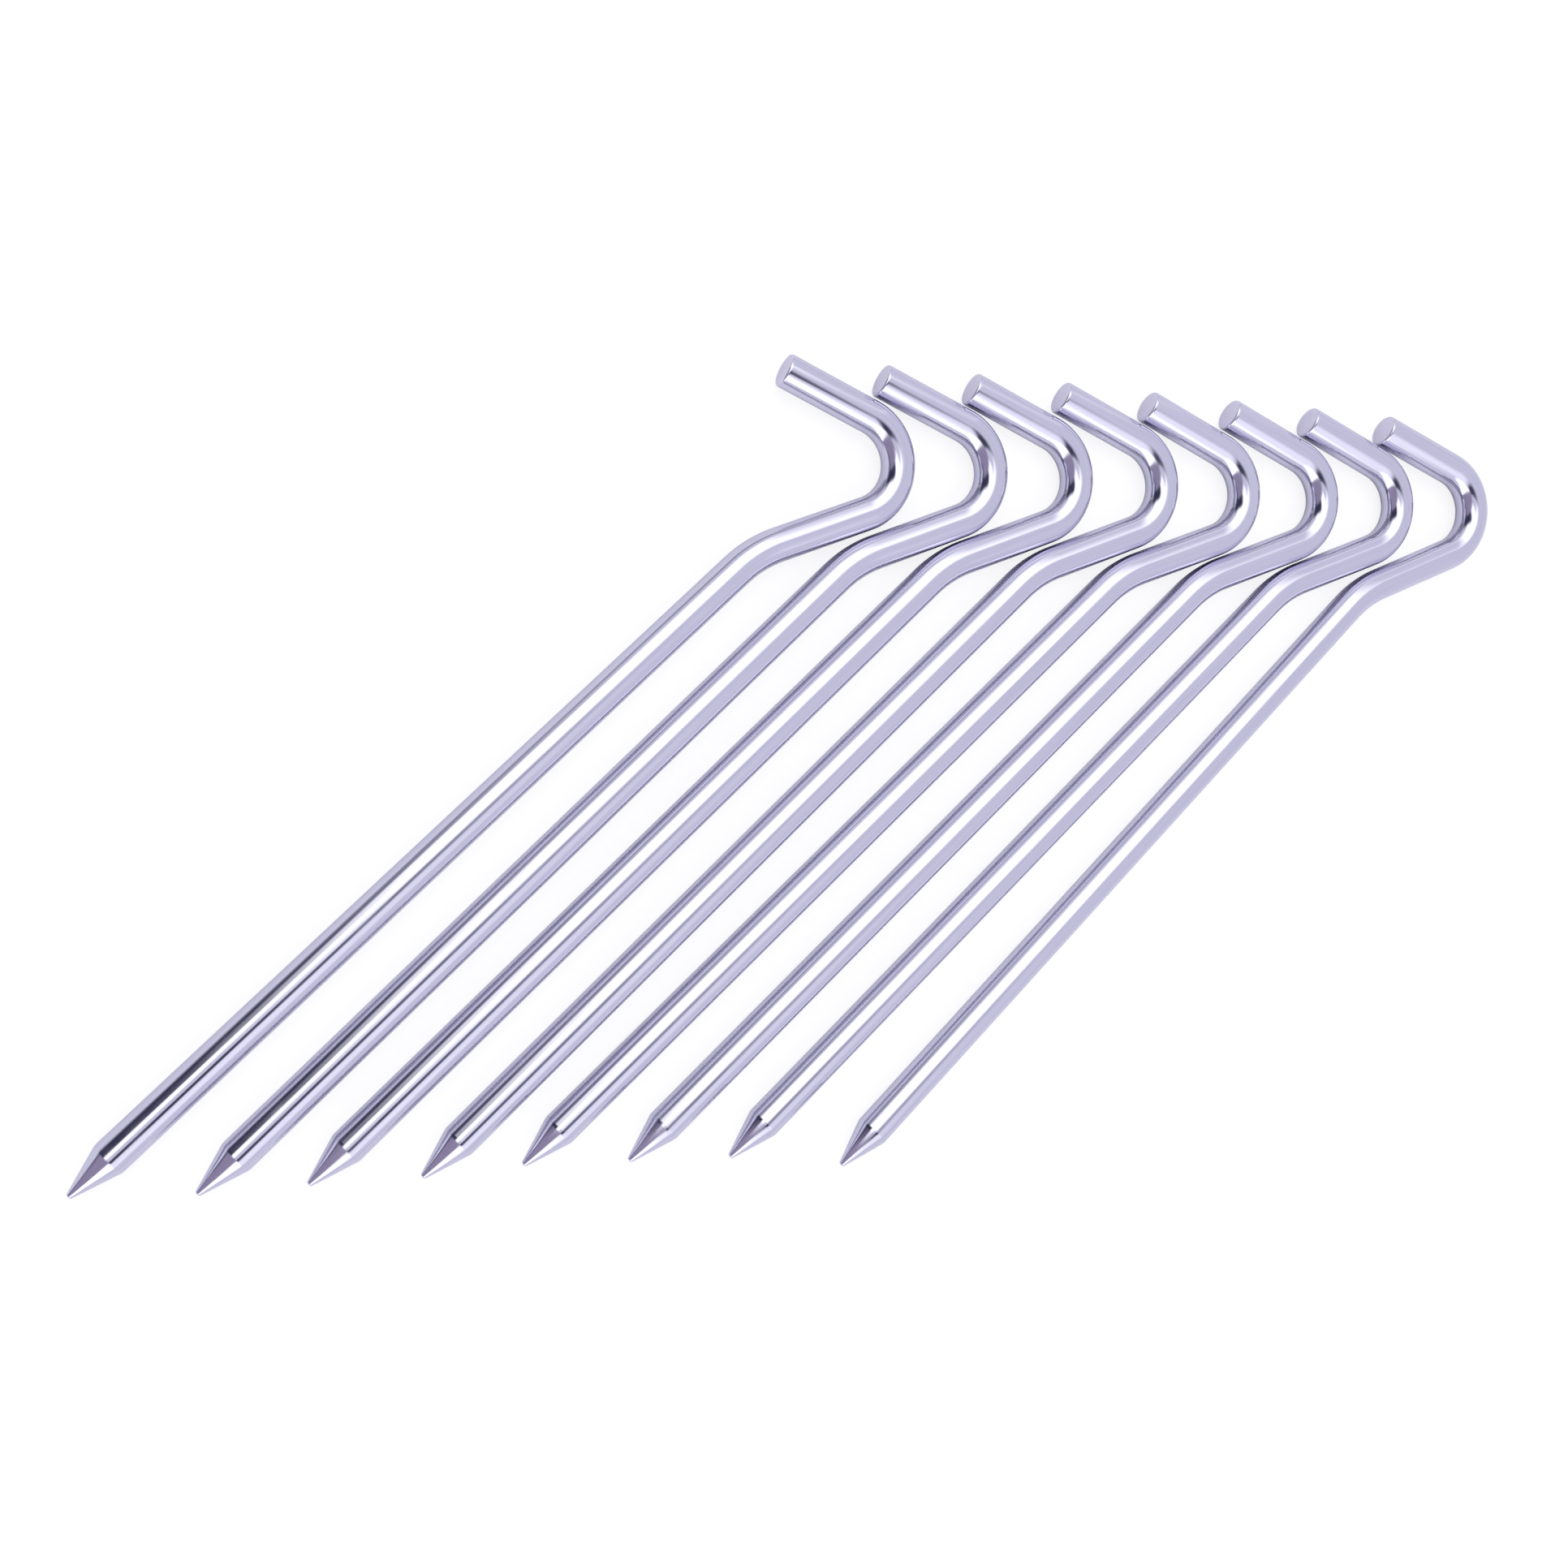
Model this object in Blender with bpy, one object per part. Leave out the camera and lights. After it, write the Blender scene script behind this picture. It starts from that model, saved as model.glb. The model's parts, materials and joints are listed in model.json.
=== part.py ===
"""Eight tent stakes of bent, pointed wire, lying flat in a nested row.

Metres, +Z up. The shafts run along Y with their points at -Y and their hooks at +Y. Each stake
is one piece of wire. The origin is at the bottom centre of the row's box.
"""

import math

import bpy
from mathutils import Matrix, Vector
from mathutils.geometry import intersect_point_line

# The wire, its ground point and its sawn end
WIRE_DIAMETER = 0.006
POINT_LENGTH = 0.008
TIP_DIAMETER = 0.0009
END_CHAMFER = 0.0005

# Straight runs of the wire, between its bends
SHAFT_LENGTH = 0.1447
NECK_LENGTH = 0.0173
ARM_LENGTH = 0.0175

# Bends, each with the radius of the former that the wire is wrapped round
NECK_ANGLE = math.radians(22.5)
NECK_FORMER_RADIUS = 0.0195
HOOK_ANGLE = math.radians(136.5)
HOOK_FORMER_RADIUS = 0.006

# The row: how far each stake is turned from the row's direction, anticlockwise from above
STAKE_TURNS = [math.radians(turn) for turn in (-0.1, 0.2, 0.0, 0.0, -0.6, -0.4, -0.2, 1.1)]
# and the room left at the arm and at the neck between each stake and the one before it
CLEARANCE = 0.0003
ARM_SLACK = (0.0003, 0.0002, 0.0005, 0.0003, 0.0005, 0.0004, 0.0002)
NECK_SLACK = (0.0005, 0.0, 0.0002, 0.0003, 0.0, 0.0, 0.0005)

# Facets
SIDE_RESOLUTION = 4
BEND_STEP = math.radians(8.0)
SHAFT_STEP = 0.025

WIRE_RADIUS = WIRE_DIAMETER / 2
UP = Vector((0.0, 0.0, 1.0))


def clear_scene():
    """Removes the startup scene's objects."""
    for obj in list(bpy.data.objects):
        bpy.data.objects.remove(obj)


def plated_steel():
    """The bright plating that covers every stake."""
    material = bpy.data.materials.new("bright_plated_wire")
    material.use_nodes = True
    shader = material.node_tree.nodes["Principled BSDF"]
    shader.inputs["Base Color"].default_value = (0.74, 0.73, 0.82, 1.0)
    shader.inputs["Metallic"].default_value = 1.0
    shader.inputs["Roughness"].default_value = 0.14
    return material


def turned(heading, angle):
    """A direction in the XY plane, turned anticlockwise from above."""
    return Matrix.Rotation(angle, 3, "Z") @ heading


def bend(start, heading, angle, former_radius):
    """Points round a bend of the wire's centre line, and the heading that it leaves on.

    A positive angle bends the wire to the left.
    """
    radius = former_radius + WIRE_RADIUS
    to_centre = turned(heading, math.copysign(math.pi / 2, angle))
    centre = start + radius * to_centre
    steps = math.ceil(abs(angle) / BEND_STEP)
    points = [centre - turned(radius * to_centre, angle * i / steps) for i in range(1, steps + 1)]
    return points, turned(heading, angle)


def wire_line():
    """The stake's centre line as (shaft and neck, arm), with the start of the neck bend at zero.

    The shaft lies along +Y, the neck turns to the right and the arm comes back over it to the left.
    """
    heading = Vector((0.0, 1.0, 0.0))
    rings = math.ceil((SHAFT_LENGTH - POINT_LENGTH) / SHAFT_STEP)
    shoulder = POINT_LENGTH - SHAFT_LENGTH
    shaft = [Vector((0.0, -SHAFT_LENGTH, 0.0))]
    shaft += [Vector((0.0, shoulder * (1 - i / rings), 0.0)) for i in range(rings + 1)]
    neck, heading = bend(shaft[-1], heading, -NECK_ANGLE, NECK_FORMER_RADIUS)
    neck.append(neck[-1] + NECK_LENGTH * heading)
    hook, heading = bend(neck[-1], heading, HOOK_ANGLE, HOOK_FORMER_RADIUS)
    half = len(hook) // 2
    arm_end = hook[-1] + ARM_LENGTH * heading
    arm = hook[half:] + [arm_end - END_CHAMFER * heading, arm_end]
    return shaft + neck + hook[:half], arm


def wire_curve(points, material):
    """The curve that all the stakes share: a round wire with a cone at one end and a sawn face at the other."""
    curve = bpy.data.curves.new("stake_wire", "CURVE")
    curve.dimensions = "3D"
    curve.twist_mode = "Z_UP"
    curve.bevel_depth = WIRE_RADIUS
    curve.bevel_resolution = SIDE_RESOLUTION
    curve.use_fill_caps = True
    spline = curve.splines.new("POLY")
    spline.points.add(len(points) - 1)
    for point, place in zip(spline.points, points):
        point.co = (*place, 1.0)
        point.radius = 1.0
    spline.points[0].radius = TIP_DIAMETER / WIRE_DIAMETER
    spline.points[-1].radius = 1.0 - END_CHAMFER / WIRE_RADIUS
    spline.use_smooth = True
    curve.materials.append(material)
    return curve


def distance_to_line(point, line):
    """The least distance from a point to a line of straight segments."""
    nearest = math.inf
    for a, b in zip(line, line[1:]):
        foot, share = intersect_point_line(point, a, b)
        if share < 0.0:
            foot = a
        elif share > 1.0:
            foot = b
        nearest = min(nearest, (point - foot).length)
    return nearest


def distance_between(line_a, line_b):
    """The least distance between two flat lines that don't cross."""
    from_a = min(distance_to_line(point, line_b) for point in line_a)
    from_b = min(distance_to_line(point, line_a) for point in line_b)
    return min(from_a, from_b)


def placed(line, place):
    """A line's points moved by a stake's place in the row."""
    return [place @ point for point in line]


def nested_place(before, stem, arm, turn, arm_slack, neck_slack):
    """The place of a stake laid against the one before it, whose whole line is given.

    The stake starts clear, up and to the right. It moves down until its arm lies on the hook of
    the one before and left until its neck meets that hook, by turns, until both are as near as
    they may be.
    """
    arm_gap = WIRE_DIAMETER + CLEARANCE + arm_slack
    neck_gap = WIRE_DIAMETER + CLEARANCE + neck_slack
    turning = Matrix.Rotation(turn, 4, "Z")
    stem_here = placed(stem, turning)
    arm_here = placed(arm, turning)
    highest = max(point.y for point in before) + arm_gap
    rightmost = max(point.x for point in before) + neck_gap
    shift = Vector((rightmost, highest - min(point.y for point in arm_here), 0.0))
    for _ in range(80):
        arm_now = placed(arm_here, Matrix.Translation(shift))
        shift.y -= distance_between(before, arm_now) - arm_gap
        stem_now = placed(stem_here, Matrix.Translation(shift))
        shift.x -= distance_between(before, stem_now) - neck_gap
    return Matrix.Translation(shift) @ turning


def row_places(stem, arm):
    """Each stake's place, from the first on the left to the last on the right."""
    places = [Matrix.Rotation(STAKE_TURNS[0], 4, "Z")]
    for turn, arm_slack, neck_slack in zip(STAKE_TURNS[1:], ARM_SLACK, NECK_SLACK):
        before = placed(stem + arm, places[-1])
        places.append(nested_place(before, stem, arm, turn, arm_slack, neck_slack))
    return places


def box_centre(objects):
    """The middle of the box round the objects' finished surfaces."""
    bpy.context.view_layer.update()
    graph = bpy.context.evaluated_depsgraph_get()
    points = []
    for obj in objects:
        surface = obj.evaluated_get(graph).to_mesh()
        points += [obj.matrix_world @ vertex.co for vertex in surface.vertices]
    lowest = Vector([min(point[axis] for point in points) for axis in range(3)])
    highest = Vector([max(point[axis] for point in points) for axis in range(3)])
    return (lowest + highest) / 2


def build_row():
    """Makes the stakes, and puts the row's box on the origin."""
    collection = bpy.data.collections.new("tent_stakes")
    bpy.context.scene.collection.children.link(collection)
    stem, arm = wire_line()
    curve = wire_curve(stem + arm, plated_steel())
    stakes = []
    for number, place in enumerate(row_places(stem, arm), start=1):
        stake = bpy.data.objects.new(f"stake_{number}", curve)
        stake.matrix_world = place
        collection.objects.link(stake)
        stakes.append(stake)
    centre = box_centre(stakes)
    for stake in stakes:
        stake.location += WIRE_RADIUS * UP - Vector((centre.x, centre.y, 0.0))


clear_scene()
build_row()
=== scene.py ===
# %% [markdown]
# # Eight wire tent stakes in bright plating
#
# Each stake is one length of round steel wire. One end is ground to a point, the other is
# bent twice to make a hook, and the whole of it is plated. In this lesson a stake is drawn out
# of one circle, the way wire comes out of a die: extruded where the wire is straight and spun
# where it is bent. Then it is copied eight times and finished with a plated metal that follows
# the wire round its bends.
#
# The frame comes first. It holds the plain solids, where they are and which body each moves with.

# %% The frame
import math

import bpy
from mathutils import Matrix, Vector
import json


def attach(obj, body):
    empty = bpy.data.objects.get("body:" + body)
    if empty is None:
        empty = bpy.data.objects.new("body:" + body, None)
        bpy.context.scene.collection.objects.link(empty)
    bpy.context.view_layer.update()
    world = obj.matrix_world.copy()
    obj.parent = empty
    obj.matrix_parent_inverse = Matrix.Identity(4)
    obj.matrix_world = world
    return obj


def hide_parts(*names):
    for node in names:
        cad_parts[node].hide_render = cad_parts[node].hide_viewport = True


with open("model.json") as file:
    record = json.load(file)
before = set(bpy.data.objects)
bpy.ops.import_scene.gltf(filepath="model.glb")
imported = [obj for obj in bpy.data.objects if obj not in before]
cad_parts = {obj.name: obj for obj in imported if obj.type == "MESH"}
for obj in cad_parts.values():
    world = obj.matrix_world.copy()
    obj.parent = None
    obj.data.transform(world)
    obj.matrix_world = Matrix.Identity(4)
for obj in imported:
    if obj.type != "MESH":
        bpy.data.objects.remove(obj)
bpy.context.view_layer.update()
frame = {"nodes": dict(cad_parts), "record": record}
stake_names = sorted(name for name in frame["nodes"] if name.startswith("stake_"))
print("stakes in the frame:", stake_names)

# %% [markdown]
# ## The sizes of one stake
#
# The sizes are those of the solids, in metres: 6 mm wire, a shaft, a short neck that leans
# away from it and an arm that comes back over it. The bends are given by the round former
# that the wire was wrapped round, as a bender would set them.

# %% Sizes
WIRE_RADIUS = 0.003
SHAFT_LENGTH = 0.1447
POINT_LENGTH = 0.008
TIP_RADIUS = 0.00045
NECK_ANGLE = math.radians(22.5)
NECK_RADIUS = 0.0195 + WIRE_RADIUS
NECK_LENGTH = 0.0173
HOOK_ANGLE = math.radians(136.5)
HOOK_RADIUS = 0.006 + WIRE_RADIUS
ARM_LENGTH = 0.0175
SIDES = 48
UP = Vector((0.0, 0.0, 1.0))


def turned(direction, angle):
    """A direction turned about the vertical, anticlockwise from above."""
    return Matrix.Rotation(angle, 3, "Z") @ direction


# %% [markdown]
# ## The line that the wire follows
#
# A wire bender thinks in runs and bends, so the line is a list of them. Each entry says where
# it starts, which way it heads, how long it is, how far it turns and about which centre. The
# start of the neck bend is at zero and the shaft lies along +Y, which is how the solids are
# drawn, so the finished mesh can be laid on them without any fitting.

# %% Runs and bends
def wire_runs():
    """The runs and bends of one stake, from its tip to its sawn end."""
    runs = []
    place, heading, along = Vector((0.0, -SHAFT_LENGTH, 0.0)), Vector((0.0, 1.0, 0.0)), 0.0
    bends = [(0.0, SHAFT_LENGTH), (-NECK_ANGLE, NECK_RADIUS), (0.0, NECK_LENGTH)]
    bends += [(HOOK_ANGLE, HOOK_RADIUS), (0.0, ARM_LENGTH)]
    for angle, size in bends:
        length = abs(angle) * size if angle else size
        run = {"start": place, "heading": heading, "length": length, "angle": angle, "along": along}
        if angle:
            to_centre = turned(heading, math.copysign(math.pi / 2, angle)) * size
            run["centre"] = place + to_centre
            place = run["centre"] - turned(to_centre, angle)
            heading = turned(heading, angle)
        else:
            place = place + heading * size
        along += length
        runs.append(run)
    return runs, place, heading


RUNS, ARM_END, ARM_HEADING = wire_runs()
WIRE_LENGTH = RUNS[-1]["along"] + RUNS[-1]["length"]
print(f"one stake takes {WIRE_LENGTH * 1000:.1f} mm of wire")

# %% [markdown]
# ## Drawing the wire out of a circle
#
# A curve with a bevel would give a wire in one step, but not a ground point with a soft
# shoulder, nor a sawn end with a worn rim. Edit mode gives all three: the open ring at the end
# of the wire is picked by its place, and then extruded, spun or filled. Everything is
# deselected first, because the solids of the frame are still selected.

# %% Helpers for edit mode
RING_THICKNESS = 1e-5
RING_MARGIN = 1.2


def pick_ring(mesh_object, centre, normal, radius=WIRE_RADIUS):
    """Selects the vertices that lie on a disc across the wire, and the edges between them."""
    bpy.ops.object.mode_set(mode="OBJECT")
    mesh = mesh_object.data
    for face in mesh.polygons:
        face.select = False
    for edge in mesh.edges:
        edge.select = False
    for vertex in mesh.vertices:
        offset = vertex.co - centre
        on_disc = abs(offset.dot(normal)) < RING_THICKNESS
        vertex.select = on_disc and offset.length < radius * RING_MARGIN
    for edge in mesh.edges:
        edge.select = all(mesh.vertices[index].select for index in edge.vertices)
    bpy.ops.object.mode_set(mode="EDIT")
    bpy.ops.mesh.select_mode(type="EDGE")


def extrude_wire(vector):
    """Draws the selected ring out along a vector."""
    bpy.ops.mesh.extrude_edges_move(TRANSFORM_OT_translate={"value": vector})


def bend_wire(run, steps):
    """Spins the selected ring round a bend's centre. The operator counts angles clockwise."""
    bpy.ops.mesh.spin(steps=steps, angle=-run["angle"], center=run["centre"], axis=UP)


# %% [markdown]
# The point is ground, not drawn: its cone starts at a shoulder whose edge the plating softens,
# and it ends in a tiny rounded tip. The cone is the first ring extruded once and scaled down,
# and the shoulder and the tip get a bevel each. The sawn end is an n-gon whose rim gets a
# wider bevel, since the saw's burr was tumbled off before plating. The hook is the bend that
# shows its roundness most, so it has the most steps.

# %% One stake, drawn along its line
NECK_STEPS = 14
HOOK_STEPS = 56
RIM_BEVEL = 0.0006
SHOULDER_BEVEL = 0.00035
TIP_BEVEL = 0.0003
MERGE_DISTANCE = 1e-6
SMOOTH_ANGLE = math.radians(40.0)


def draw_stake():
    """The mesh of one stake, with the start of its neck bend at zero."""
    shaft, neck_bend, neck, hook_bend, arm = RUNS
    shoulder = shaft["start"] + shaft["heading"] * POINT_LENGTH
    bpy.ops.object.select_all(action="DESELECT")
    bpy.ops.mesh.primitive_circle_add(
        vertices=SIDES, radius=WIRE_RADIUS, location=shoulder, rotation=(math.pi / 2, 0.0, 0.0)
    )
    stake = bpy.context.object
    stake.name = "stake_pattern"
    bpy.ops.object.transform_apply(location=True, rotation=True, scale=True)
    along = shaft["heading"]

    pick_ring(stake, shoulder, along)
    extrude_wire(-along * POINT_LENGTH)
    share = TIP_RADIUS / WIRE_RADIUS
    bpy.ops.transform.resize(value=(share, 1.0, share), center_override=shaft["start"])
    bpy.ops.mesh.edge_face_add()

    pick_ring(stake, shoulder, along)
    extrude_wire(-shoulder)
    pick_ring(stake, neck_bend["start"], along)
    bend_wire(neck_bend, NECK_STEPS)
    pick_ring(stake, neck["start"], neck["heading"])
    extrude_wire(neck["heading"] * NECK_LENGTH)
    pick_ring(stake, hook_bend["start"], hook_bend["heading"])
    bend_wire(hook_bend, HOOK_STEPS)
    pick_ring(stake, arm["start"], arm["heading"])
    extrude_wire(arm["heading"] * ARM_LENGTH)
    bpy.ops.mesh.edge_face_add()

    pick_ring(stake, ARM_END, ARM_HEADING)
    bpy.ops.mesh.bevel(offset=RIM_BEVEL, segments=5, profile=0.6, affect="EDGES")
    pick_ring(stake, shoulder, along)
    bpy.ops.mesh.bevel(offset=SHOULDER_BEVEL, segments=4, profile=0.5, affect="EDGES")
    pick_ring(stake, shaft["start"], along, TIP_RADIUS)
    bpy.ops.mesh.bevel(offset=TIP_BEVEL, segments=4, profile=0.5, affect="EDGES")

    bpy.ops.mesh.select_all(action="SELECT")
    bpy.ops.mesh.remove_doubles(threshold=MERGE_DISTANCE)
    bpy.ops.mesh.normals_make_consistent(inside=False)
    bpy.ops.object.mode_set(mode="OBJECT")
    bpy.ops.object.shade_smooth_by_angle(angle=SMOOTH_ANGLE)
    print(f"one stake has {len(stake.data.polygons)} faces, its box is {tuple(stake.dimensions)}")
    return stake


pattern = draw_stake()

# %% [markdown]
# ## Where each point was on the straight wire
#
# Drawing lines run along the wire and go round the bends with it. A pattern in plain object
# coordinates would cut straight across the hook, so each vertex remembers where it was before
# the wire was bent: across, along from the tip, and up. The material reads that as an
# attribute. Nothing has to be unwrapped, and there is no seam. A vertex belongs to the run
# whose line it is nearest to, and where two runs meet, to the first of them.

# %% The unbent place of each vertex
TIE = 1e-9


def unbent(point):
    """(across, along, up) on the straight wire, for a point of the bent one."""
    flat = Vector((point.x, point.y, 0.0))
    best = None
    for run in RUNS:
        if run["angle"]:
            start_spoke = run["start"] - run["centre"]
            radius = start_spoke.length
            spoke = flat - run["centre"]
            swept = math.atan2(start_spoke.cross(spoke).z, start_spoke.dot(spoke))
            share = min(max(swept / run["angle"], 0.0), 1.0)
            nearest = run["centre"] + turned(start_spoke, run["angle"] * share)
            across = (spoke.length - radius) * math.copysign(1.0, run["angle"])
            along = radius * abs(run["angle"]) * share
        else:
            offset = flat - run["start"]
            along = min(max(offset.dot(run["heading"]), 0.0), run["length"])
            nearest = run["start"] + run["heading"] * along
            across = -run["heading"].cross(offset).z
        miss = (flat - nearest).length
        if best is None or miss < best[0] - TIE:
            best = (miss, Vector((across, run["along"] + along, point.z)))
    return best[1]


attribute = pattern.data.attributes.new("straight_wire", "FLOAT_VECTOR", "POINT")
for vertex in pattern.data.vertices:
    attribute.data[vertex.index].vector = unbent(vertex.co)
print("the straight wire is remembered at", len(pattern.data.vertices), "points")

# %% [markdown]
# ## Eight copies on their solids
#
# The record says where the middle of each sawn end is and which way it faces. That fixes a
# stake that lies flat: its turn is the angle between the pattern's arm and the sawn end's
# axis, and its place follows. Each copy has its own mesh, and its place is in the mesh, so
# every object sits at the origin. A real stake is never quite a twin of the next one: each
# copy's wire carries its own number, which the material uses to vary its marks.

# %% Laying the copies down
def body_of_node(node):
    """The body that holds a node."""
    bodies = frame["record"]["behaviour"]["bodies"]
    return next(body for body, nodes in bodies.items() if node in nodes)


def lay_stake(name, number):
    """Copies the pattern onto one solid, and lets it ride with that solid's body."""
    mounts = {mount["name"]: mount for mount in frame["record"]["mounts"]}
    sawn_end = mounts[f"{name}_sawn_end"]
    axis = Vector(sawn_end["axis"])
    turn = math.atan2(axis.y, axis.x) - math.atan2(ARM_HEADING.y, ARM_HEADING.x)
    turning = Matrix.Rotation(turn, 4, "Z")
    place = Matrix.Translation(Vector(sawn_end["pos_m"]) - turning @ ARM_END) @ turning
    mesh = pattern.data.copy()
    mesh.transform(place)
    wire_number = mesh.attributes.new("wire_number", "FLOAT", "POINT")
    for item in wire_number.data:
        item.value = float(number)
    wire = bpy.data.objects.new(f"{name}_wire", mesh)
    bpy.context.scene.collection.objects.link(wire)
    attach(wire, body_of_node(name))
    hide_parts(name)
    return wire


wires = [lay_stake(name, number) for number, name in enumerate(stake_names, start=1)]
bpy.data.objects.remove(pattern)
print("laid", len(wires), "stakes")

# %% [markdown]
# ## Node groups for the plating
#
# Two effects shape the finish. The first is the lines that the drawing die leaves along the
# wire, which show through bright plating as faint streaks. The second is the fine scratches
# and rubbed spots that stakes give each other in their bag. Each is a group with named inputs
# that puts out only a value, so it can be placed in more than one material.

# %% Small helpers for nodes
UNDER, OVER = 6, 7  # the colour inputs of a Mix node, whose names all its data types share
MIXED = 2  # its colour output


def add_node(tree, kind, **settings):
    """A new node with its settings, and its inputs filled from a dictionary called inputs."""
    inputs = settings.pop("inputs", {})
    node = tree.nodes.new(kind)
    for name, value in settings.items():
        setattr(node, name, value)
    for name, value in inputs.items():
        node.inputs[name].default_value = value
    return node


def new_group(name, inputs, outputs):
    """A shader node group with float or vector sockets, and its input and output nodes."""
    group = bpy.data.node_groups.new(name, "ShaderNodeTree")
    for socket, kind, value in inputs:
        made = group.interface.new_socket(socket, in_out="INPUT", socket_type=kind)
        if value is not None:
            made.default_value = value
    for socket, kind in outputs:
        group.interface.new_socket(socket, in_out="OUTPUT", socket_type=kind)
    return group, group.nodes.new("NodeGroupInput"), group.nodes.new("NodeGroupOutput")


# %% [markdown]
# Drawing lines are noise that is very fine across the wire and very long along it. A Mapping
# node squeezes the noise's space along the wire, which stretches its pattern out.

# %% Drawing lines
LINE_STRETCH = 0.012
LINES_PER_METRE = 2600.0


def drawing_lines_group():
    """Streaks that run along the wire, as a value from 0 to 1."""
    group, given, result = new_group(
        "drawing_lines",
        [("Wire", "NodeSocketVector", None), ("Fineness", "NodeSocketFloat", 1.0)],
        [("Lines", "NodeSocketFloat")],
    )
    stretch = add_node(group, "ShaderNodeMapping", inputs={"Scale": (1.0, LINE_STRETCH, 1.0)})
    size = add_node(group, "ShaderNodeMath", operation="MULTIPLY")
    size.inputs[1].default_value = LINES_PER_METRE
    fine = add_node(group, "ShaderNodeTexNoise", inputs={"Detail": 3.0, "Roughness": 0.6})
    group.links.new(given.outputs["Wire"], stretch.inputs["Vector"])
    group.links.new(given.outputs["Fineness"], size.inputs[0])
    group.links.new(size.outputs[0], fine.inputs["Scale"])
    group.links.new(stretch.outputs["Vector"], fine.inputs["Vector"])
    group.links.new(fine.outputs["Fac"], result.inputs["Lines"])
    return group


# %% [markdown]
# Scratches are thin, so they are where a stretched noise passes through the middle of its
# range: the distance from the middle is small only along thin curves. A second, soft noise
# decides where a stake has been rubbed at all.

# %% Handling marks
SCRATCH_TILT = (0.3, 0.5, 0.6)
SCRATCH_WIDTH = 0.012
WORN_FROM, WORN_TO = 0.5, 0.72


def handling_marks_group():
    """Fine scratches and soft rubbed spots, each as a value from 0 to 1."""
    group, given, result = new_group(
        "handling_marks",
        [("Wire", "NodeSocketVector", None), ("Amount", "NodeSocketFloat", 0.5)],
        [("Scratches", "NodeSocketFloat"), ("Rubbed", "NodeSocketFloat")],
    )
    tilt = add_node(group, "ShaderNodeMapping", inputs={"Scale": (1.0, 0.3, 1.0)})
    tilt.inputs["Rotation"].default_value = SCRATCH_TILT
    noise = add_node(group, "ShaderNodeTexNoise", inputs={"Scale": 620.0, "Detail": 1.0})
    middle = add_node(group, "ShaderNodeMath", operation="SUBTRACT")
    middle.inputs[1].default_value = 0.5
    away = add_node(group, "ShaderNodeMath", operation="ABSOLUTE")
    thin = add_node(group, "ShaderNodeMapRange", clamp=True)
    thin.inputs["From Min"].default_value = 0.0
    thin.inputs["From Max"].default_value = SCRATCH_WIDTH
    thin.inputs["To Min"].default_value = 1.0
    thin.inputs["To Max"].default_value = 0.0
    spots = add_node(group, "ShaderNodeTexNoise", inputs={"Scale": 95.0, "Detail": 4.0})
    worn = add_node(group, "ShaderNodeMapRange", clamp=True, interpolation_type="SMOOTHSTEP")
    worn.inputs["From Min"].default_value = WORN_FROM
    worn.inputs["From Max"].default_value = WORN_TO
    here = add_node(group, "ShaderNodeMath", operation="MULTIPLY")
    rubbed = add_node(group, "ShaderNodeMath", operation="MULTIPLY")
    links = group.links
    links.new(given.outputs["Wire"], tilt.inputs["Vector"])
    links.new(tilt.outputs["Vector"], noise.inputs["Vector"])
    links.new(noise.outputs["Fac"], middle.inputs[0])
    links.new(middle.outputs[0], away.inputs[0])
    links.new(away.outputs[0], thin.inputs["Value"])
    links.new(given.outputs["Wire"], spots.inputs["Vector"])
    links.new(spots.outputs["Fac"], worn.inputs["Value"])
    links.new(worn.outputs["Result"], rubbed.inputs[0])
    links.new(given.outputs["Amount"], rubbed.inputs[1])
    links.new(thin.outputs["Result"], here.inputs[0])
    links.new(rubbed.outputs[0], here.inputs[1])
    links.new(here.outputs[0], result.inputs["Scratches"])
    links.new(rubbed.outputs[0], result.inputs["Rubbed"])
    return group


# %% [markdown]
# ## The plated wire
#
# Bright zinc or chrome plate is a metal, so its colour is the colour of its reflections: a
# light grey with a little lilac in it. Its shine comes from a low roughness that rises a
# little in the drawing lines and where the wire is rubbed. The height of the lines feeds a
# Bump node, very shallow, so that highlights break up into the faint streaks that bright wire
# has. The wire's own number shifts the pattern, so no two stakes carry the same marks. The
# sawn end is rougher under its plate, and its colour is made a little lighter as painted
# light, so that it looks softly lit all over. It is found by its distance along the wire.

# %% The material
SHADED_LINE = (0.73, 0.715, 0.83, 1.0)
BRIGHT_LINE = (0.79, 0.775, 0.89, 1.0)
# The sawn end's lighter colour is painted light: it makes the end look softly lit all over.
SAWN_END_PAINTED_LIGHT = (0.84, 0.82, 0.92, 1.0)
SMOOTHEST, ROUGHEST_LINE = 0.08, 0.16
RUBBED_ROUGHNESS = 0.12
SAWN_ROUGHNESS = 0.3
SAWN_RIM = 0.0004
SCRATCH_DEPTH = -0.5
MARK_STRENGTH = 0.03
MARK_HEIGHT = 0.00003
NUMBER_SHIFT = (0.31, 0.53, 0.17)


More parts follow.
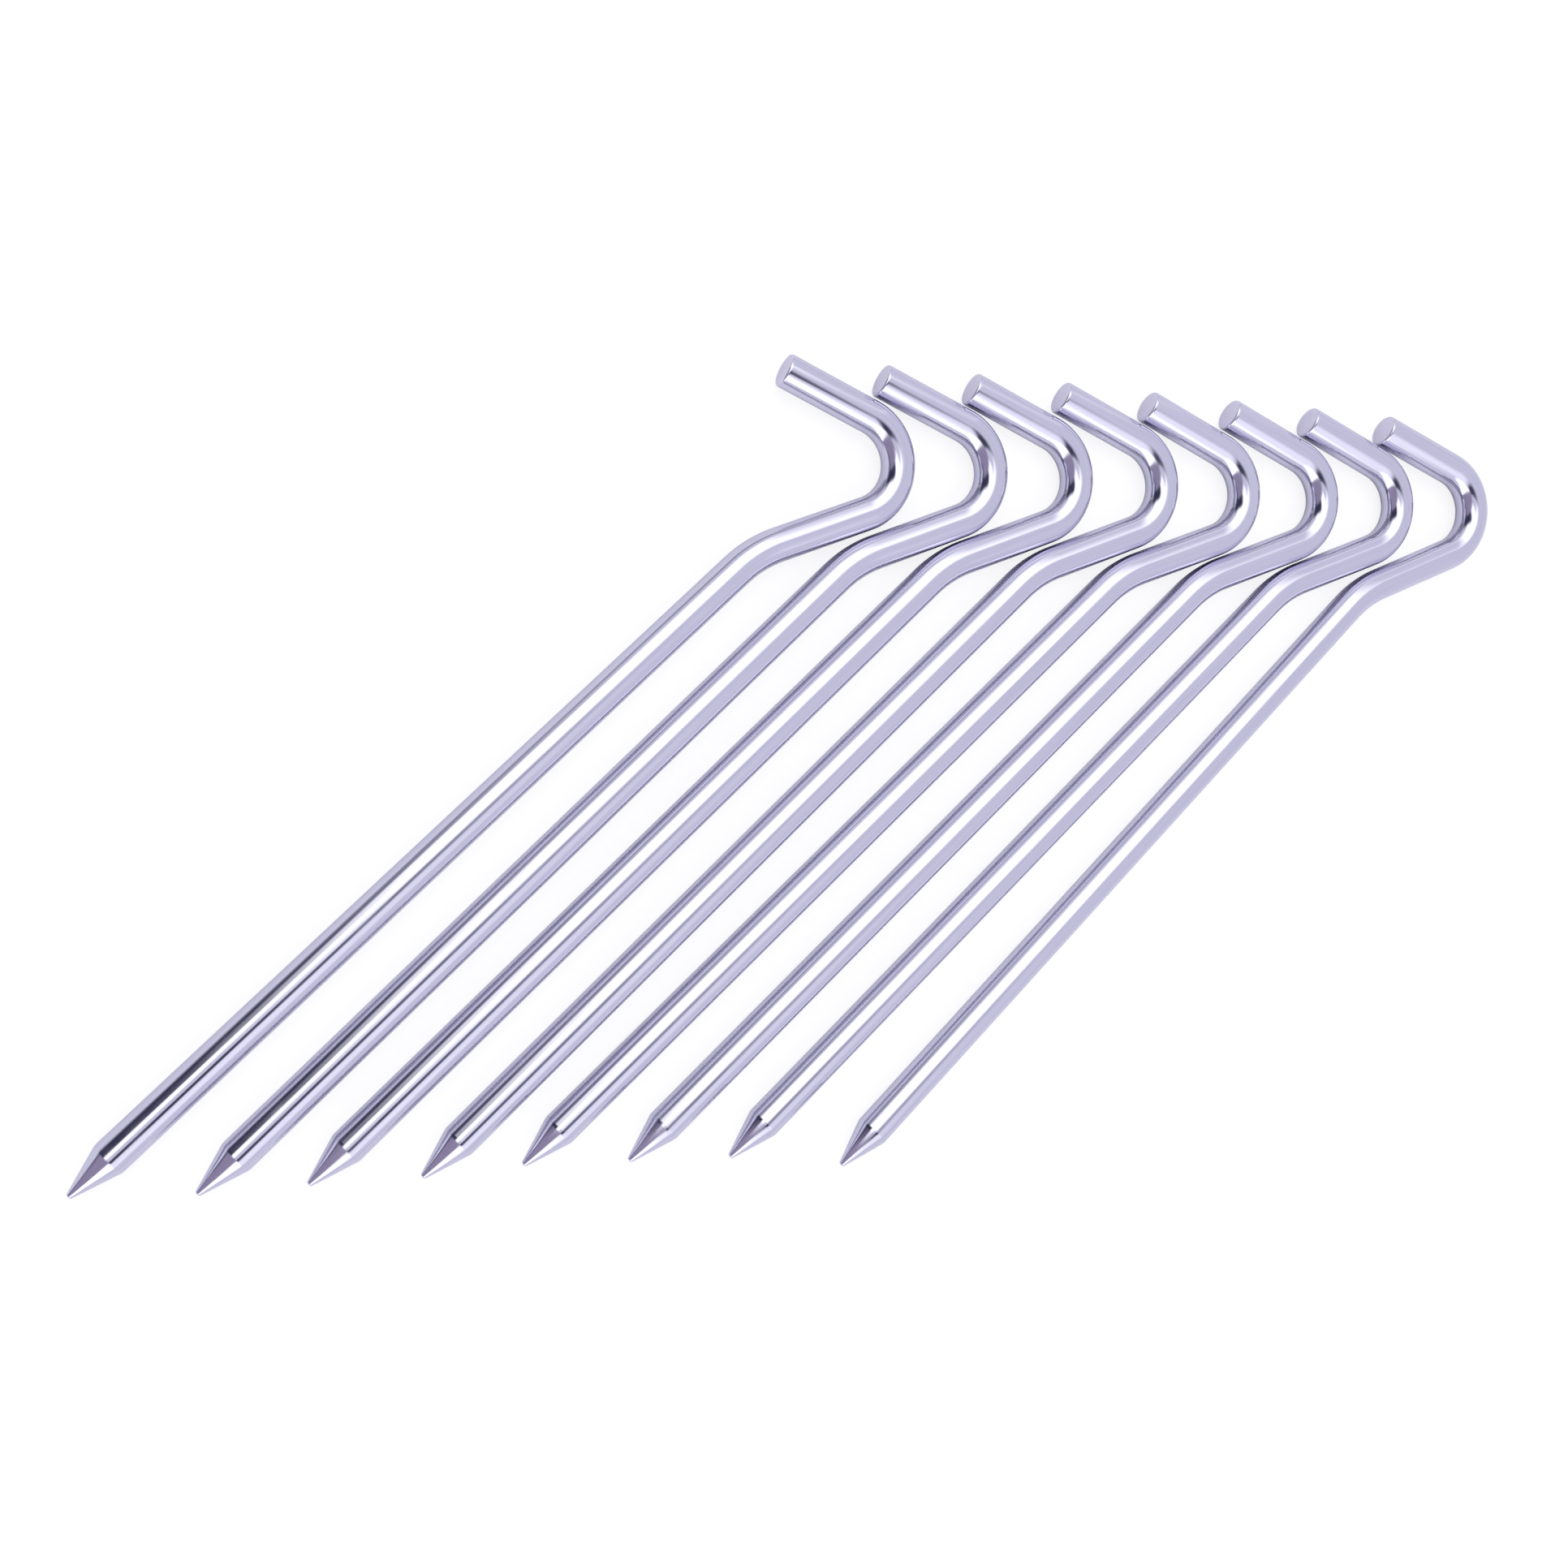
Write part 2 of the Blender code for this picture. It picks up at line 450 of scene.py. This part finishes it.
def plated_wire_material():
    """Bright plated wire, with its marks laid along the straight wire's coordinates."""
    material = bpy.data.materials.new("bright_plated_wire")
    material.use_nodes = True
    tree = material.node_tree
    shader = tree.nodes["Principled BSDF"]
    shader.inputs["Metallic"].default_value = 1.0

    place = add_node(tree, "ShaderNodeAttribute", attribute_name="straight_wire")
    number = add_node(tree, "ShaderNodeAttribute", attribute_name="wire_number")
    offset = add_node(tree, "ShaderNodeVectorMath", operation="SCALE")
    offset.inputs[0].default_value = NUMBER_SHIFT
    wire = add_node(tree, "ShaderNodeVectorMath", operation="ADD")
    lines = add_node(tree, "ShaderNodeGroup", node_tree=drawing_lines_group())
    marks = add_node(tree, "ShaderNodeGroup", node_tree=handling_marks_group())
    marks.inputs["Amount"].default_value = 0.6
    tree.links.new(number.outputs["Fac"], offset.inputs["Scale"])
    tree.links.new(place.outputs["Vector"], wire.inputs[0])
    tree.links.new(offset.outputs["Vector"], wire.inputs[1])
    tree.links.new(wire.outputs["Vector"], lines.inputs["Wire"])
    tree.links.new(wire.outputs["Vector"], marks.inputs["Wire"])

    split = add_node(tree, "ShaderNodeSeparateXYZ")
    sawn = add_node(tree, "ShaderNodeMapRange", clamp=True)
    sawn.inputs["From Min"].default_value = WIRE_LENGTH - SAWN_RIM
    sawn.inputs["From Max"].default_value = WIRE_LENGTH
    tree.links.new(place.outputs["Vector"], split.inputs["Vector"])
    tree.links.new(split.outputs["Y"], sawn.inputs["Value"])

    tint = add_node(tree, "ShaderNodeValToRGB")
    tint.color_ramp.elements[0].position = 0.3
    tint.color_ramp.elements[0].color = SHADED_LINE
    tint.color_ramp.elements[1].position = 0.75
    tint.color_ramp.elements[1].color = BRIGHT_LINE
    tree.links.new(lines.outputs["Lines"], tint.inputs["Fac"])
    metal = add_node(tree, "ShaderNodeMix", data_type="RGBA")
    # The sawn end gets its lighter colour here, as painted light.
    metal.inputs[OVER].default_value = SAWN_END_PAINTED_LIGHT
    tree.links.new(sawn.outputs["Result"], metal.inputs["Factor"])
    tree.links.new(tint.outputs["Color"], metal.inputs[UNDER])
    tree.links.new(metal.outputs[MIXED], shader.inputs["Base Color"])

    rough_lines = add_node(tree, "ShaderNodeMapRange", clamp=True)
    rough_lines.inputs["To Min"].default_value = SMOOTHEST
    rough_lines.inputs["To Max"].default_value = ROUGHEST_LINE
    rough = add_node(tree, "ShaderNodeMath", operation="MULTIPLY_ADD", use_clamp=True)
    rough.inputs[1].default_value = RUBBED_ROUGHNESS
    tree.links.new(lines.outputs["Lines"], rough_lines.inputs["Value"])
    tree.links.new(marks.outputs["Rubbed"], rough.inputs[0])
    tree.links.new(rough_lines.outputs["Result"], rough.inputs[2])
    rough_saw = add_node(tree, "ShaderNodeMath", operation="MULTIPLY_ADD", use_clamp=True)
    rough_saw.inputs[1].default_value = SAWN_ROUGHNESS
    tree.links.new(sawn.outputs["Result"], rough_saw.inputs[0])
    tree.links.new(rough.outputs[0], rough_saw.inputs[2])
    tree.links.new(rough_saw.outputs[0], shader.inputs["Roughness"])

    height = add_node(tree, "ShaderNodeMath", operation="MULTIPLY_ADD")
    height.inputs[1].default_value = SCRATCH_DEPTH
    bump = add_node(tree, "ShaderNodeBump")
    bump.inputs["Strength"].default_value = MARK_STRENGTH
    bump.inputs["Distance"].default_value = MARK_HEIGHT
    tree.links.new(marks.outputs["Scratches"], height.inputs[0])
    tree.links.new(lines.outputs["Lines"], height.inputs[2])
    tree.links.new(height.outputs[0], bump.inputs["Height"])
    tree.links.new(bump.outputs["Normal"], shader.inputs["Normal"])
    return material


plating = plated_wire_material()
for wire in wires:
    wire.data.materials.clear()
    wire.data.materials.append(plating)
print("plated", len(wires), "wires with", plating.name)

# %% [markdown]
# ## The floor
#
# The stakes lie on plain white paper. It is stage, not part of the object. Bright metal shows
# the floor along both edges of every wire, so the paper must not be as bright to the metal as
# it looks: a share of plain glow, given to camera rays only, lifts it to white and leaves the
# contact shadows faint, as on a brightly lit studio table.

# %% A plain floor
PAPER = (0.78, 0.78, 0.83, 1.0)
GLOW_SHARE = 0.72
GLOW_STRENGTH = 1.15


def floor_material():
    """White paper: a matt sheet that the metal reflects, with a glow that only the camera sees."""
    material = bpy.data.materials.new("white_paper")
    material.use_nodes = True
    tree = material.node_tree
    paper = tree.nodes["Principled BSDF"]
    paper.inputs["Base Color"].default_value = PAPER
    paper.inputs["Roughness"].default_value = 0.9
    paper.inputs["Specular IOR Level"].default_value = 0.1
    glow = add_node(tree, "ShaderNodeEmission", inputs={"Strength": GLOW_STRENGTH})
    rays = add_node(tree, "ShaderNodeLightPath")
    share = add_node(tree, "ShaderNodeMath", operation="MULTIPLY")
    share.inputs[1].default_value = GLOW_SHARE
    mix = add_node(tree, "ShaderNodeMixShader")
    tree.links.new(rays.outputs["Is Camera Ray"], share.inputs[0])
    tree.links.new(share.outputs[0], mix.inputs["Fac"])
    tree.links.new(paper.outputs["BSDF"], mix.inputs[1])
    tree.links.new(glow.outputs["Emission"], mix.inputs[2])
    tree.links.new(mix.outputs["Shader"], tree.nodes["Material Output"].inputs["Surface"])
    return material


bpy.ops.object.select_all(action="DESELECT")
bpy.ops.mesh.primitive_plane_add(size=6.0, location=(0.0, 0.0, 0.0))
floor = bpy.context.object
floor.name = "white_floor"
floor.data.materials.append(floor_material())

# %% [markdown]
# ## The camera
#
# The camera stands on the side of the points and of the first stake, high above the row, and
# is rolled so that the shafts rise from the lower left to the upper right. It is placed by its
# distance, azimuth and elevation from the point it looks at, and then rolled about its own axis.

# %% Camera
TARGET = Vector((-0.0053, -0.0097, 0.0))
DISTANCE = 0.3249
AZIMUTH = math.radians(-140.5)
ELEVATION = math.radians(69.0)
ROLL = math.radians(97.8)

level_reach = math.cos(ELEVATION)
away = Vector((math.cos(AZIMUTH) * level_reach, math.sin(AZIMUTH) * level_reach, math.sin(ELEVATION)))
camera_data = bpy.data.cameras.new("camera")
camera_data.lens = 43.0
camera_data.sensor_width = 36.0
camera_data.clip_start = 0.01
camera = bpy.data.objects.new("camera", camera_data)
aimed = (-away).to_track_quat("-Z", "Y").to_matrix().to_4x4()
stand = Matrix.Translation(TARGET + away * DISTANCE)
camera.matrix_world = stand @ aimed @ Matrix.Rotation(ROLL, 4, "Z")
bpy.context.scene.collection.objects.link(camera)
bpy.context.scene.camera = camera

# %% [markdown]
# ## Light
#
# Metal has no shade of its own: its streaks are what stands round it. So the room is drawn by
# direction, as a studio for small bright things would be set. Seen from the stakes, one soft
# panel fills a strip of the sky on the side of the first stake, the rest is a pale lilac room,
# and it is darker low down behind that side. The panel ends before the side of the hooks.
# Towards the points the panel is narrower, with a dark gap on each side of it, which the wires
# there show as thin dark lines, and a white wall stands opposite. Past the points hang a mauve
# curtain and a second panel: the ground cones tilt that way, so one side of each is mauve and
# the other is white.
#
# The strips are measured across the row, as an angle from straight up: the arctangent of X
# and Z. Two smooth steps make a band, and a third one says how far along the row it reaches.
# The camera itself sees a plain white room.

# %% Bands of the room
def smooth_step(tree, value, start, end):
    """0 before start and 1 after end, smoothly, of another node's value."""
    step = add_node(tree, "ShaderNodeMapRange", interpolation_type="SMOOTHSTEP", clamp=True)
    step.inputs["From Min"].default_value = min(start, end)
    step.inputs["From Max"].default_value = max(start, end)
    step.inputs["To Min"].default_value = float(start > end)
    step.inputs["To Max"].default_value = float(start <= end)
    tree.links.new(value, step.inputs["Value"])
    return step.outputs["Result"]


def product(tree, *values):
    """The product of several values."""
    result = values[0]
    for value in values[1:]:
        times = add_node(tree, "ShaderNodeMath", operation="MULTIPLY")
        tree.links.new(result, times.inputs[0])
        tree.links.new(value, times.inputs[1])
        result = times.outputs[0]
    return result


def band(tree, angle, low, high, softness):
    """1 between two angles, in degrees, and 0 outside them."""
    half = softness / 2
    rise = smooth_step(tree, angle, low - half, low + half)
    fall = smooth_step(tree, angle, high + half, high - half)
    return product(tree, rise, fall)


def mixed(tree, share, under, over):
    """One colour laid over another where share is 1. A colour is a socket or four numbers."""
    mix = add_node(tree, "ShaderNodeMix", data_type="RGBA")
    tree.links.new(share, mix.inputs["Factor"])
    for socket, colour in ((mix.inputs[UNDER], under), (mix.inputs[OVER], over)):
        if isinstance(colour, tuple):
            socket.default_value = colour
        else:
            tree.links.new(colour, socket)
    return mix.outputs[MIXED]


# %% [markdown]
# The room's values are brightness as the metal sees it, so the panel may be above 1. The strips
# are laid one over another, in the order of the list. Each has its two edges in degrees, how
# soft they are, where along the row it is, and its colour. A place along the row runs from the
# Y of a direction where the strip starts to show to the Y where it is all there.

# %% The room
LILAC = (0.69, 0.685, 0.80, 1.0)
PANEL = (1.45, 1.45, 1.45, 1.0)
DUSK = (0.36, 0.36, 0.42, 1.0)
MAUVE = (0.32, 0.28, 0.40, 1.0)
WALL = (1.05, 1.05, 1.15, 1.0)
GAP = (0.04, 0.04, 0.08, 1.0)
WHITE = (1.0, 1.0, 1.0, 1.0)

HOOKS = (0.46, 0.74)
NEAR_POINTS = (0.26, -0.12)
AT_POINTS = (0.06, -0.14)
PAST_POINTS = (-0.38, -0.56)

STRIPS = [
    ("panel", -58.0, 0.0, 14.0, None, PANEL),
    ("panel's end", -58.0, 0.0, 14.0, HOOKS, LILAC),
    ("dusky side", -112.0, -76.0, 14.0, None, DUSK),
    ("wall opposite", 24.0, 56.0, 14.0, NEAR_POINTS, WALL),
    ("panel's lost edge", -14.0, 6.0, 8.0, AT_POINTS, LILAC),
    ("wide low gap", -80.0, -36.0, 8.0, AT_POINTS, GAP),
    ("narrow low gap", -80.0, -62.0, 10.0, NEAR_POINTS, GAP),
    ("high gap", 4.0, 20.0, 6.0, NEAR_POINTS, GAP),
    ("curtain", -74.0, 8.0, 16.0, PAST_POINTS, MAUVE),
    ("second panel", 10.0, 64.0, 12.0, PAST_POINTS, PANEL),
]


def draw_room():
    """The world: a lilac room with its strips, and plain white to the camera."""
    world = bpy.data.worlds.new("pale_room")
    world.use_nodes = True
    tree = world.node_tree
    background = tree.nodes["Background"]
    direction = add_node(tree, "ShaderNodeTexCoord")
    split = add_node(tree, "ShaderNodeSeparateXYZ")
    across = add_node(tree, "ShaderNodeMath", operation="ARCTAN2")
    degrees = add_node(tree, "ShaderNodeMath", operation="DEGREES")
    tree.links.new(direction.outputs["Generated"], split.inputs["Vector"])
    tree.links.new(split.outputs["X"], across.inputs[0])
    tree.links.new(split.outputs["Z"], across.inputs[1])
    tree.links.new(across.outputs[0], degrees.inputs[0])

    colour = LILAC
    for name, low, high, softness, place, strip_colour in STRIPS:
        share = band(tree, degrees.outputs[0], low, high, softness)
        if place:
            share = product(tree, smooth_step(tree, split.outputs["Y"], *place), share)
        colour = mixed(tree, share, colour, strip_colour)
        print("hung in the room:", name)

    rays = add_node(tree, "ShaderNodeLightPath")
    colour = mixed(tree, rays.outputs["Is Camera Ray"], colour, WHITE)
    tree.links.new(colour, background.inputs["Color"])
    bpy.context.scene.world = world


draw_room()

# %% [markdown]
# The room alone would leave the paper grey. A wide, soft sun stands in the same part of the
# sky as the panel and brightens the paper. It is hidden from glossy rays, so its disc adds
# nothing to the reflections that the room has set out.

# %% Fill
SUN_DIRECTION = Vector((-0.45, 0.1, 0.89))
SUN_WIDTH = math.radians(50.0)

sun_data = bpy.data.lights.new("soft_sun", "SUN")
sun_data.energy = 0.5
sun_data.angle = SUN_WIDTH
sun = bpy.data.objects.new("soft_sun", sun_data)
sun.visible_glossy = False
sun.rotation_euler = (-SUN_DIRECTION).to_track_quat("-Z", "Y").to_euler()
bpy.context.scene.collection.objects.link(sun)
bpy.context.scene.view_settings.view_transform = "Standard"
